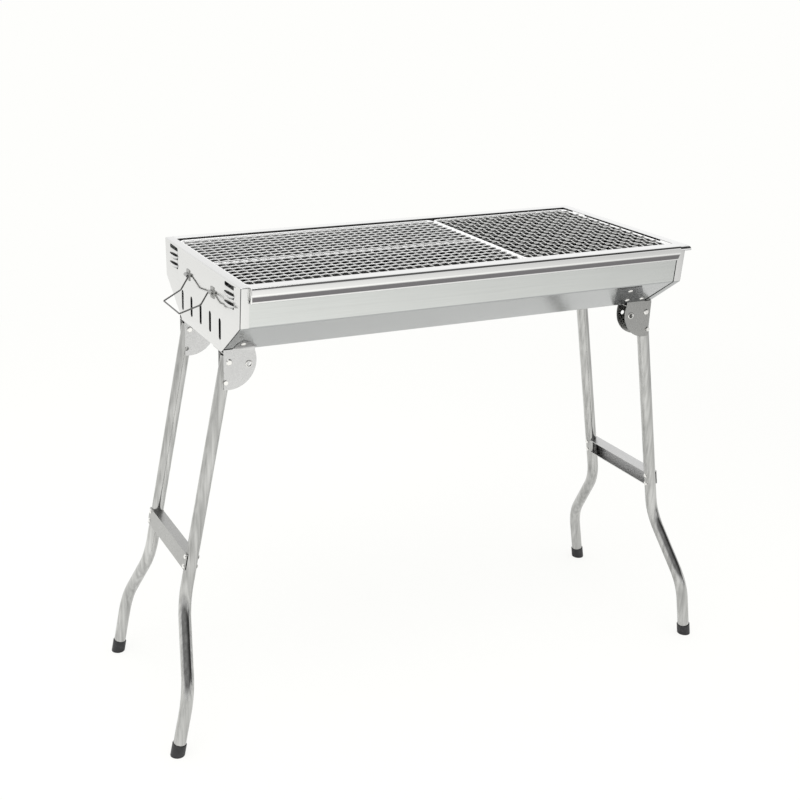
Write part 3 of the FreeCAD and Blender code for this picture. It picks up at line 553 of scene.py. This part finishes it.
    def build_right_rim(self) -> None:
        """Fold the flat rim that overhangs the right end, with its turned-down edges."""
        low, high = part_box("right_end_plate")
        start = high.x - 20.0 * MM
        rim = bmesh.new()
        grid = bmesh.ops.create_grid(rim, x_segments=1, y_segments=1, size=0.5)["verts"]
        bmesh.ops.scale(rim, vec=(high.x - start, high.y - low.y, 1), verts=grid)
        bmesh.ops.translate(rim, vec=((start + high.x) / 2, 0, self.rim), verts=grid)
        inner = [edge for edge in rim.edges if all(abs(v.co.x - start) < 1e-6 for v in edge.verts)]
        outer = [edge for edge in rim.edges if edge not in inner]
        drawn = bmesh.ops.extrude_edge_only(rim, edges=outer)["geom"]
        bmesh.ops.translate(rim, vec=(0, 0, -7.5 * MM),
                            verts=[item for item in drawn if isinstance(item, bmesh.types.BMVert)])
        corners = [edge for edge in rim.edges if abs(edge.verts[0].co.z - edge.verts[1].co.z) > 1e-4
                   and edge.verts[0].co.x > start + 1e-4]
        round_folds(rim, outer, 6.6 * MM, 6)
        round_folds(rim, [edge for edge in corners if edge.is_valid], 0.8 * MM)
        face_outwards(rim, Vector((0, 0, 1)))
        piece = finished(rim, "right_rim_cap", self.finishes.rail, "grill_body")
        thicken(piece, self.gauge)

    def build_hoods(self) -> None:
        """Press the louvre hoods that stand over the lower two slots of each corner."""
        for end, x in ((-1, self.left), (1, self.right)):
            hoods = bmesh.new()
            for side in (-1, 1):
                for row in (1, 2):
                    centre = (x, (self.half_width - self.louvre_inset) * side,
                              self.louvre_top - self.louvre_pitch * row)
                    self.add_hood(hoods, centre, end)
            bmesh.ops.recalc_face_normals(hoods, faces=hoods.faces)
            name = "left_louvre_hoods" if end < 0 else "right_louvre_hoods"
            piece = finished(hoods, name, self.finishes.plate, "grill_body")
            # Painted shade: the inside of each hood takes the darker zinc copy.
            piece.data.materials.append(self.finishes.right_bracket)
            wall = piece.modifiers.new("Wall", "SOLIDIFY")
            wall.thickness = 0.6 * MM
            wall.offset = -1.0
            wall.material_offset = 1

    def add_hood(self, hoods: bmesh.types.BMesh, centre: tuple[float, float, float], end: int) -> None:
        """Add one scoop: half of a flattened dome, open at its upper edge.

        Args:
            hoods: bmesh that takes the scoop.
            centre: middle of the slot.
            end: -1 on the left end and 1 on the right.
        """
        length, width = self.louvre_size
        dome = bmesh.ops.create_uvsphere(hoods, u_segments=20, v_segments=10, radius=1.0)["verts"]
        bmesh.ops.scale(hoods, vec=(self.hood_depth, length / 2 + 1 * MM, width + 1 * MM), verts=dome)
        mouth = (centre[0], centre[1], centre[2] + width / 2)
        bmesh.ops.translate(hoods, vec=mouth, verts=dome)
        for normal, point in (((-end, 0, 0), centre), ((0, 0, 1), mouth)):
            members = set(dome)
            geometry = [item for item in (*hoods.verts, *hoods.edges, *hoods.faces)
                        if (item in members if isinstance(item, bmesh.types.BMVert)
                            else all(v in members for v in item.verts))]
            result = bmesh.ops.bisect_plane(hoods, geom=geometry, dist=1e-7, plane_co=point,
                                            plane_no=normal, clear_outer=True)
            dome = [v for v in set(dome) if v.is_valid]
            dome += [item for item in result["geom_cut"] if isinstance(item, bmesh.types.BMVert)]

    def build_rails(self) -> None:
        """Roll the rail on each long side: hem, tucked-under roll, flat rim, step and ledge."""
        low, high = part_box("back_rim_rail")
        lip, top, bottom = high.y, high.z, high.z - self.rail_depth
        hem, tuck = self.half_width + 0.6 * MM, bottom + self.rail_tuck
        step = lip - self.rail_top
        ledge = top - self.rail_step
        for side, node in ((1, "back_rim_rail"), (-1, "front_rim_rail")):
            section = [(self.half_width - self.hem_inset, bottom), (hem, bottom), (hem, bottom + self.hem),
                       (lip, tuck), (lip, top), (step, top), (step, ledge),
                       (step - self.rail_ledge, ledge)]
            rail = folded_strip([(y * side, z) for y, z in section], low.x, high.x,
                                {1: 0.4 * MM, 2: 0.4 * MM, 3: 2.0 * MM, 4: self.roll_radius,
                                 5: 1.0 * MM, 6: 1.0 * MM}, Vector((0, 0, 1)))
            # Painted shade: the step's upright face takes the dark seam finish.
            for face in rail.faces:
                middle = face.calc_center_median()
                if abs(abs(middle.y) - step) < 0.2 * MM and ledge < middle.z < top:
                    face.material_index = 1
            piece = finished(rail, node.replace("rail", "roll"), self.finishes.rail, "grill_body",
                             (node,))
            piece.data.materials.append(self.finishes.painted_seam_shade)
            thicken(piece, self.gauge)
        self.build_plugs(low.x, lip, top, bottom)

    def build_plugs(self, x: float, lip: float, top: float, bottom: float) -> None:
        """Close the left end of both rails with a small turned-in tongue."""
        plugs = bmesh.new()
        size = (2.0 * MM, lip - self.half_width, top - bottom)
        for side in (-1, 1):
            cube = bmesh.ops.create_cube(plugs, size=1.0)["verts"]
            bmesh.ops.scale(plugs, vec=size, verts=cube)
            bmesh.ops.translate(plugs, vec=(x + size[0] / 2, (self.half_width + size[1] / 2) * side,
                                            (top + bottom) / 2), verts=cube)
        round_folds(plugs, plugs.edges[:], 0.8 * MM)
        finished(plugs, "rail_end_tongues", self.finishes.rail, "grill_body")

    def build(self) -> None:
        """Build every piece of the body."""
        self.build_trough()
        self.build_ends()
        self.build_hoods()
        self.build_rails()


# ---------------------------------------------------------------- grates

@dataclass
class WovenGrate:
    """One grate: crimped wires woven over and under each other inside a rod frame."""

    finishes: Finishes
    name: str
    wire_radius: float = 1.0 * MM
    rod_radius: float = 2.0 * MM
    pitch: float = 14.0 * MM
    sides: int = 8
    samples: int = 8

    def __post_init__(self) -> None:
        """Read the frame rods' places from the CAD frame."""
        low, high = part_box(f"{self.name}_grate_frame")
        rod = self.rod_radius
        self.left, self.right = low.x + rod, high.x - rod
        self.front, self.back = low.y + rod, high.y - rod
        self.level = (low.z + high.z) / 2

    def crimped(self, weave: bmesh.types.BMesh, start: Vector, along: Vector, length: float,
                half_wave: float, phase: float, depth: float) -> list:
        """Draw one crimped wire as a ring that is extruded along its wave.

        Args:
            weave: bmesh that takes the wire.
            start: its first end, at mid height.
            along: unit direction of the wire.
            length: straight length of the wire.
            half_wave: distance from a crest to the next dip.
            phase: where in its wave the wire starts, in radians.
            depth: height of the wave above its middle.

        Returns:
            The wire's vertices.
        """
        count = max(2, round(length / half_wave * self.samples / 2))
        turn = Vector((0, 0, 1)).rotation_difference(along).to_matrix().to_4x4()
        heights = [depth * math.cos(phase + math.pi * length * step / count / half_wave)
                   for step in range(count + 1)]
        place = Matrix.Translation(start + Vector((0, 0, heights[0])))
        ring = bmesh.ops.create_circle(weave, cap_ends=False, segments=self.sides,
                                       radius=self.wire_radius, matrix=place @ turn)["verts"]
        made = list(ring)
        edges = list({edge for vert in ring for edge in vert.link_edges})
        for before, after in zip(heights, heights[1:]):
            drawn = bmesh.ops.extrude_edge_only(weave, edges=edges)["geom"]
            ring = [item for item in drawn if isinstance(item, bmesh.types.BMVert)]
            edges = [item for item in drawn if isinstance(item, bmesh.types.BMEdge)
                     and all(v in ring for v in item.verts)]
            bmesh.ops.translate(weave, verts=ring,
                                vec=along * (length / count) + Vector((0, 0, after - before)))
            made += ring
        return made

    def repeat(self, weave: bmesh.types.BMesh, wire: list, step: Vector, count: int) -> None:
        """Copy a wire count times, each a step further on."""
        faces = list({face for vert in wire for face in vert.link_faces})
        edges = list({edge for vert in wire for edge in vert.link_edges})
        for number in range(1, count + 1):
            copy = bmesh.ops.duplicate(weave, geom=wire + edges + faces)["geom"]
            bmesh.ops.translate(weave, vec=step * number,
                                verts=[item for item in copy if isinstance(item, bmesh.types.BMVert)])

    def build_layer(self, along: Vector, across: Vector, size: tuple[float, float], half_wave: float,
                    lift: float, depth: float, shift: float) -> bmesh.types.BMesh:
        """Lay all the wires that run one way.

        Args:
            along: direction of the wires.
            across: direction from wire to wire.
            size: length of each wire, and the room that the wires share.
            half_wave: distance from a crest to the next dip.
            lift: height of the layer above the frame's middle.
            depth: height of the wires' wave above its middle.
            shift: phase between neighbouring wires.

        Returns:
            The layer's bmesh.
        """
        layer = bmesh.new()
        length, width = size
        spaces = int((width + 1e-6) // self.pitch)
        step = width / spaces
        corner = Vector((self.left, self.front, self.level + lift))
        for odd in (0, 1):
            start = corner + across * step * (1 + odd)
            wire = self.crimped(layer, start, along, length, half_wave, math.pi + shift * odd, depth)
            self.repeat(layer, wire, across * step * 2, (spaces - 2 - odd) // 2)
        bmesh.ops.recalc_face_normals(layer, faces=layer.faces)
        return layer

    def build(self) -> None:
        """Lay both layers: long wires over cross wires, or a true weave on the small grate."""
        length, width = self.right - self.left, self.back - self.front
        row_pitch = width / int((width + 1e-6) // self.pitch)
        column_pitch = length / int((length + 1e-6) // self.pitch)
        along, across = Vector((1, 0, 0)), Vector((0, 1, 0))
        woven = self.name == "small"
        body = f"{self.name}_grate"
        # The small grate's rows take the painted-shade wire, and the large grate's rows take the lit wire.
        row_finish = self.finishes.cross_wire if woven else self.finishes.wire
        rows = self.build_layer(along, across, (length, width),
                                column_pitch if woven else column_pitch / 2,
                                1.2 * MM if woven else 2.0 * MM, 0.9 * MM if woven else 0.35 * MM,
                                math.pi if woven else 0.0)
        finished(rows, f"{self.name}_crimped_rows", row_finish, body,
                 (f"{self.name}_grate_long_wires",))
        # The columns below take the painted-shade wire.
        columns = self.build_layer(across, along, (width, length), row_pitch,
                                   1.0 * MM if woven else 0.0, 0.9 * MM if woven else 0.1 * MM, math.pi)
        finished(columns, f"{self.name}_crimped_columns", self.finishes.cross_wire, body,
                 (f"{self.name}_grate_cross_wires",))


# ---------------------------------------------------------------- dressed CAD nodes

@dataclass
class Hardware:
    """Stamped, turned and bent pieces whose shape the CAD gives, with their edges softened."""

    finishes: Finishes
    flange_trim: float = 13.0 * MM
    splay: float = math.radians(10.56)
    button_drop: float = 30.0 * MM
    cheek_side: float = 95.3 * MM
    eyelet: tuple[tuple[float, float], ...] = ((3.5, 0.0), (3.6, 0.7), (4.1, 1.2), (4.8, 1.1),
                                               (5.3, 0.5), (5.4, 0.0))

    def soften(self, node: str, body: str, material: bpy.types.Material, edge_radius: float,
               steps: int = 2, sharp: float = 40.0) -> None:
        """Replace a node by a merged copy whose sharp edges are rounded.

        Args:
            node: CAD node to stand for.
            body: body that carries it.
            material: its finish.
            edge_radius: size of the rounding.
            steps: segments across the rounding.
            sharp: smallest angle, in degrees, that counts as an edge.
        """
        copy = merged_copy(node)
        edges = [edge for edge in copy.edges
                 if edge.is_manifold and edge.calc_face_angle(0.0) > math.radians(sharp)]
        bmesh.ops.bevel(copy, geom=edges, offset=edge_radius, offset_type="OFFSET", affect="EDGES",
                        segments=steps, profile=0.5, material=-1, clamp_overlap=True)
        piece = finished(copy, f"{node}_finished", material, body, (node,))
        even = piece.modifiers.new("EvenShading", "WEIGHTED_NORMAL")
        even.keep_sharp = True

    def trim_flange(self, node: str, material: bpy.types.Material) -> None:
        """Replace a left bracket by a copy whose flange is shorter and round at its corners.

        Args:
            node: CAD node of the bracket.
            material: its finish.
        """
        copy = merged_copy(node)
        highest = max(vert.co.z for vert in copy.verts)
        tip = [vert for vert in copy.verts if vert.co.z > highest - 3 * MM]
        side = math.copysign(1.0, tip[0].co.y)
        bmesh.ops.translate(copy, verts=tip, vec=Vector((0, -0.803 * side, -0.596)) * self.flange_trim)
        corners = [edge for edge in copy.edges if all(vert in tip for vert in edge.verts)
                   and abs(edge.verts[0].co.x - edge.verts[1].co.x) < 0.1 * MM]
        bmesh.ops.bevel(copy, geom=corners, offset=7 * MM, offset_type="OFFSET", affect="EDGES",
                        segments=6, profile=0.5, material=-1, clamp_overlap=True)
        finished(copy, f"{node}_finished", material, "grill_body", (node,))

    def draw_thinner(self, node: str, material: bpy.types.Material, depth: float) -> None:
        """Give a CAD wire a finish and draw it a little thinner."""
        self.keep(node, material)
        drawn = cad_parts[node].modifiers.new("Drawn", "DISPLACE")
        drawn.mid_level = 0.0
        drawn.strength = -depth

    def build_eyelets(self, end: str, turn: float) -> None:
        """Press a raised ring round the button hole for folded legs in both outer cheeks.

        Args:
            end: left or right.
            turn: angle that the legs fold through, in radians.
        """
        inwards = 1 if end == "left" else -1
        angle = turn - self.splay
        for face, side in (("front", -1), ("back", 1)):
            low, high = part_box(f"{face}_{end}_pivot_pin")
            pivot = (low + high) / 2
            centre = Vector((pivot.x + inwards * self.button_drop * math.sin(angle),
                             self.cheek_side * side, pivot.z - self.button_drop * math.cos(angle)))
            ring = bmesh.new()
            points = [ring.verts.new(centre + Vector((radius, height * side, 0)) * MM)
                      for radius, height in self.eyelet]
            edges = [ring.edges.new(pair) for pair in zip(points, points[1:])]
            bmesh.ops.spin(ring, geom=points + edges, cent=centre, axis=(0, 1, 0), steps=28,
                           angle=math.tau, use_merge=True, use_duplicate=False)
            bmesh.ops.recalc_face_normals(ring, faces=ring.faces)
            finished(ring, f"{face}_{end}_eyelet", self.finishes.fastener, "grill_body")

    def keep(self, node: str, material: bpy.types.Material) -> None:
        """Leave a CAD node in place and give it a finish."""
        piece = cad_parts[node]
        piece.data.materials.clear()
        piece.data.materials.append(material)
        LOG.info("%s keeps its shape", node)

    def build(self) -> None:
        """Dress every bracket, fastener, tube, brace, handle and rod."""
        f = self.finishes
        # Painted light and shade: the left brackets take the lighter copy of the zinc finish, and the right
        # brackets take the darker copy.
        for end, bracket in (("left", f.left_bracket), ("right", f.right_bracket)):
            legs = f"{end}_legs"
            for face in ("front", "back"):
                corner = f"{face}_{end}"
                if end == "left":
                    self.trim_flange(f"{corner}_bracket", bracket)
                else:
                    self.keep(f"{corner}_bracket", bracket)
                self.soften(f"{corner}_bracket_rivets", "grill_body", f.fastener,
                            0.7 * MM)
                self.soften(f"{corner}_pivot_pin", "grill_body", f.fastener, 0.9 * MM)
                self.soften(f"{corner}_snap_button", f"{corner}_button", f.fastener,
                            0.8 * MM)
                self.keep(f"{corner}_leg_tube", f.tube)
                self.soften(f"{corner}_foot_cap", legs, f.cap, 1.6 * MM)
            self.build_eyelets(end, math.radians(90 if end == "left" else 94))
            # The braces take the copies the other way round: painted shade on the left brace, painted light
            # on the right brace.
            self.keep(f"{end}_brace", f.right_bracket if end == "left" else f.left_bracket)
            self.soften(f"{end}_brace_rivets", legs, f.fastener, 0.7 * MM)
            # Painted shade: the handle lugs take the darker zinc copy.
            self.soften(f"{end}_handle_lugs", "grill_body", f.right_bracket, 0.5 * MM)
            self.draw_thinner(f"{end}_handle", f.handle, 0.35 * MM)
        self.keep("charcoal_basket", f.basket)
        for node in ("large_grate_frame", "small_grate_frame", "large_grate_stiffener"):
            self.keep(node, f.wire)


# ---------------------------------------------------------------- studio

@dataclass
class Studio:
    """White room, soft light and the camera."""

    camera_place: tuple[float, float, float] = (-0.947, -1.676, 1.1377)
    yaw: float = 0.4162
    pitch: float = 0.3503
    roll: float = 0.0152
    focal_share: float = 1.5927
    shift: float = 0.125

    def build_camera(self) -> None:
        """Place the camera that looks at the grill from its front left."""
        camera = bpy.data.cameras.new("studio_camera")
        camera.lens = self.focal_share * camera.sensor_width
        camera.shift_x = self.shift
        camera.clip_end = 100.0
        view = Vector((math.sin(self.yaw) * math.cos(self.pitch),
                       math.cos(self.yaw) * math.cos(self.pitch), -math.sin(self.pitch)))
        right = Vector((math.cos(self.yaw), -math.sin(self.yaw), 0))
        up = right.cross(view)
        tilt = Matrix((right, up, -view)).transposed() @ Matrix.Rotation(self.roll, 3, "Z")
        holder = bpy.data.objects.new("studio_camera", camera)
        holder.matrix_world = Matrix.Translation(self.camera_place) @ tilt.to_4x4()
        bpy.context.scene.collection.objects.link(holder)
        bpy.context.scene.camera = holder

    def build_floor(self) -> None:
        """Lay a wide pale floor that keeps the grill's soft shadow, with its paper painted darker towards
        +X as painted shade for the metal to mirror.
        """
        floor = bmesh.new()
        bmesh.ops.create_grid(floor, x_segments=1, y_segments=1, size=12.0)
        mesh = bpy.data.meshes.new("floor")
        floor.to_mesh(mesh)
        floor.free()
        material = bpy.data.materials.new("studio_floor")
        material.use_nodes = True
        tree = material.node_tree
        tree.nodes.clear()
        seen = add_node(tree, "ShaderNodeLightPath")
        place = add_node(tree, "ShaderNodeTexCoord").outputs["Object"]
        # Painted shade: the paper grades from pale to grey along +X, for the metal to mirror.
        across = add_node(tree, "ShaderNodeSeparateXYZ", {0: place}).outputs["X"]
        painted_shade_aside = add_node(tree, "ShaderNodeMapRange", {0: across, 1: 0.2, 2: 2.6})
        paper_painted_shade = add_node(tree, "ShaderNodeMix", {0: painted_shade_aside.outputs[0], 6: linear("#F4F4F2"),
                                                 7: linear("#CFCFCE")}, data_type="RGBA")
        matt = add_node(tree, "ShaderNodeBsdfDiffuse", {"Color": paper_painted_shade.outputs[2]})
        glow = add_node(tree, "ShaderNodeEmission", {"Color": linear("#FEFEFC"), "Strength": 1.0})
        far = add_node(tree, "ShaderNodeVectorMath", {0: place}, operation="LENGTH").outputs["Value"]
        fade = add_node(tree, "ShaderNodeMapRange", {0: far, 1: 0.8, 2: 2.2, 3: 0.85, 4: 1.0})
        share = add_node(tree, "ShaderNodeMath", {0: seen.outputs["Is Camera Ray"], 1: fade.outputs[0]},
                         operation="MULTIPLY")
        both = add_node(tree, "ShaderNodeMixShader", {0: share.outputs[0], 1: matt.outputs[0],
                                                      2: glow.outputs[0]})
        add_node(tree, "ShaderNodeOutputMaterial", {"Surface": both.outputs[0]})
        mesh.materials.append(material)
        ground = bpy.data.objects.new("floor", mesh)
        bpy.context.scene.collection.objects.link(ground)

    def build_world(self) -> None:
        """White to the eye and softly graded to the metal."""
        world = bpy.data.worlds.new("studio_room")
        bpy.context.scene.world = world
        world.use_nodes = True
        tree = world.node_tree
        tree.nodes.clear()
        seen = add_node(tree, "ShaderNodeLightPath")
        white = add_node(tree, "ShaderNodeBackground", {"Color": linear("#FEFEFC"), "Strength": 1.0})
        towards = add_node(tree, "ShaderNodeSeparateXYZ",
                           {0: add_node(tree, "ShaderNodeTexCoord").outputs["Generated"]})
        ceiling = add_node(tree, "ShaderNodeMapRange", {0: towards.outputs["X"], 1: -0.1, 2: 0.6,
                                                        3: 0.35, 4: 0.05})
        rise = add_node(tree, "ShaderNodeMapRange", {0: towards.outputs["Y"], 1: 0.1, 2: -0.12})
        above = add_node(tree, "ShaderNodeMapRange", {0: towards.outputs["Z"], 1: 0.08, 2: 0.3})
        front = add_node(tree, "ShaderNodeMath", {0: rise.outputs[0], 1: above.outputs[0]},
                         operation="MULTIPLY")
        shown = add_node(tree, "ShaderNodeMath", {0: front.outputs[0], 1: seen.outputs["Is Glossy Ray"]},
                         operation="MULTIPLY")
        light = add_node(tree, "ShaderNodeMix", {0: shown.outputs[0], 2: 1.05, 3: ceiling.outputs[0]})
        room = add_node(tree, "ShaderNodeBackground", {"Color": linear("#FFFFFF"),
                                                       "Strength": light.outputs[0]})
        both = add_node(tree, "ShaderNodeMixShader", {0: seen.outputs["Is Camera Ray"],
                                                      1: room.outputs[0], 2: white.outputs[0]})
        add_node(tree, "ShaderNodeOutputWorld", {"Surface": both.outputs[0]})

    def add_card(self, name: str, place: tuple[float, float, float], size: tuple[float, float],
                 colour: str) -> None:
        """Stand a dim glowing card beside the grill, seen only in the metal's gloss, for the metal to
        mirror.

        Args:
            name: name of the card.
            place: its middle.
            size: its width and height.
            colour: its grey.
        """
        card = bmesh.new()
        grid = bmesh.ops.create_grid(card, x_segments=1, y_segments=1, size=0.5)["verts"]
        bmesh.ops.scale(card, vec=(size[0], size[1], 1), verts=grid)
        aim = (Vector((0, 0, 0.5)) - Vector(place)).to_track_quat("Z", "Y").to_matrix().to_4x4()
        bmesh.ops.transform(card, matrix=Matrix.Translation(place) @ aim, verts=grid)
        mesh = bpy.data.meshes.new(name)
        card.to_mesh(mesh)
        card.free()
        material = bpy.data.materials.new(name)
        material.use_nodes = True
        tree = material.node_tree
        tree.nodes.clear()
        flat = add_node(tree, "ShaderNodeEmission", {"Color": linear(colour), "Strength": 1.0})
        add_node(tree, "ShaderNodeOutputMaterial", {"Surface": flat.outputs[0]})
        mesh.materials.append(material)
        stand = bpy.data.objects.new(name, mesh)
        stand.visible_camera = False
        stand.visible_diffuse = False
        stand.visible_shadow = False
        bpy.context.scene.collection.objects.link(stand)

    def build_lamp(self, name: str, place: tuple[float, float, float], size: float, power: float) -> None:
        """Hang one square soft lamp that looks at the grill."""
        lamp = bpy.data.lights.new(name, "AREA")
        lamp.size = size
        lamp.energy = power
        holder = bpy.data.objects.new(name, lamp)
        aim = (Vector((0, 0, 0.5)) - Vector(place)).to_track_quat("-Z", "Y")
        holder.matrix_world = Matrix.Translation(place) @ aim.to_matrix().to_4x4()
        bpy.context.scene.collection.objects.link(holder)

    def build(self) -> None:
        """Build the room, the lamps and the camera."""
        self.build_camera()
        self.build_floor()
        self.build_world()
        self.build_lamp("overhead_lamp", (-0.6, -0.8, 3.0), 2.2, 38)
        self.add_card("card_right", (3.2, -2.4, 0.5), (1.0, 1.8), "#5A5A5C")
        scene = bpy.context.scene
        scene.view_settings.view_transform = "Standard"


def main() -> None:
    """Build the grill and the studio."""
    finishes = Finishes.make()
    TroughBody(finishes).build()
    for name in ("large", "small"):
        WovenGrate(finishes, name).build()
    Hardware(finishes).build()
    Studio().build()


if __name__ == "__main__":
    main()
